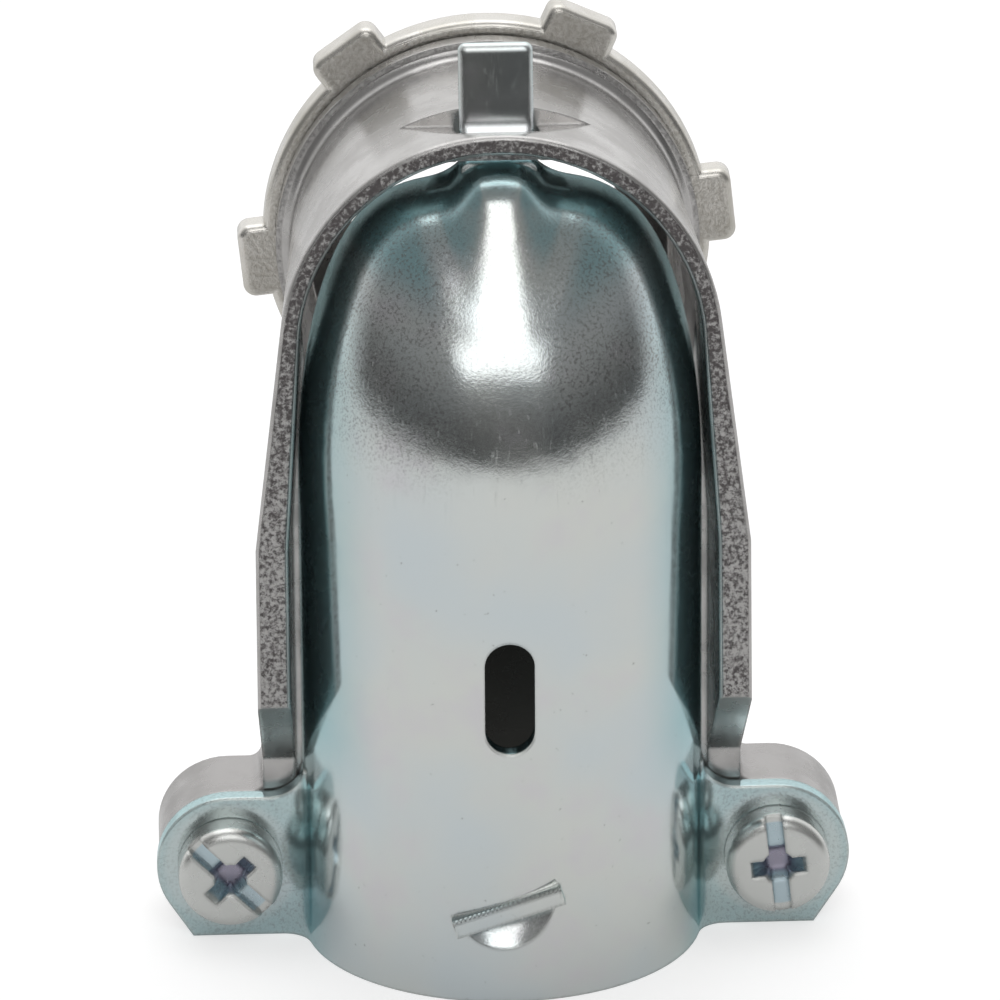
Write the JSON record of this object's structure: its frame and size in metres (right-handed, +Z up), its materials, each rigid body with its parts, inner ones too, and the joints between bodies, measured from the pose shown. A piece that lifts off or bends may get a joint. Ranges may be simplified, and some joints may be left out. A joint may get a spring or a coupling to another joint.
{
  "type": "angled squeeze connector",
  "caption": "Right-angle squeeze connector for flexible metal conduit: cast elbow with threaded neck and locknut, and a hooked steel strap that screws clamp around the conduit.",
  "frame": {"origin": "middle of the conduit mouth, on the plane of the conduit end that the part stands on", "axes": "+Z up the conduit's axis, +Y along the threaded neck's axis away from the clamp strap, +X to the right as the strap is looked at"},
  "size_m": [0.0532, 0.0489, 0.0704],
  "materials": {
    "cast_zinc": "satin",
    "plated_sheet": "satin",
    "plated_screw": "satin",
    "cast_nut": "matte"
  },
  "bodies": {
    "casting": {"body_casting": "cast_zinc"},
    "strap": {"clamp_strap": "plated_sheet"},
    "left_screw": {"left_clamp_screw": "plated_screw"},
    "right_screw": {"right_clamp_screw": "plated_screw"},
    "nut": {"locknut": "cast_nut"}
  },
  "joints": [
    {"name": "strap_swing", "type": "hinge", "parent": "casting", "child": "strap", "pos_m": [0, -0.0013, 0.063], "axis": [-1, 0, 0], "range_deg": [0, 7]},
    {"name": "left_screw_out", "type": "slide", "parent": "casting", "child": "left_screw", "axis": [0, -1, 0], "range_m": [0, 0.0077]},
    {"name": "right_screw_out", "type": "slide", "parent": "casting", "child": "right_screw", "axis": [0, -1, 0], "range_m": [0, 0.0077]},
    {"name": "locknut_turn", "type": "hinge", "parent": "casting", "child": "nut", "pos_m": [0, 0.0217, 0.0489], "axis": [0, 1, 0], "continuous": true}
  ],
  "couplings": [
    {"joint": "left_screw_out", "follows": "strap_swing", "m_per_rad": 0.0625},
    {"joint": "right_screw_out", "follows": "strap_swing", "m_per_rad": 0.0625}
  ]
}
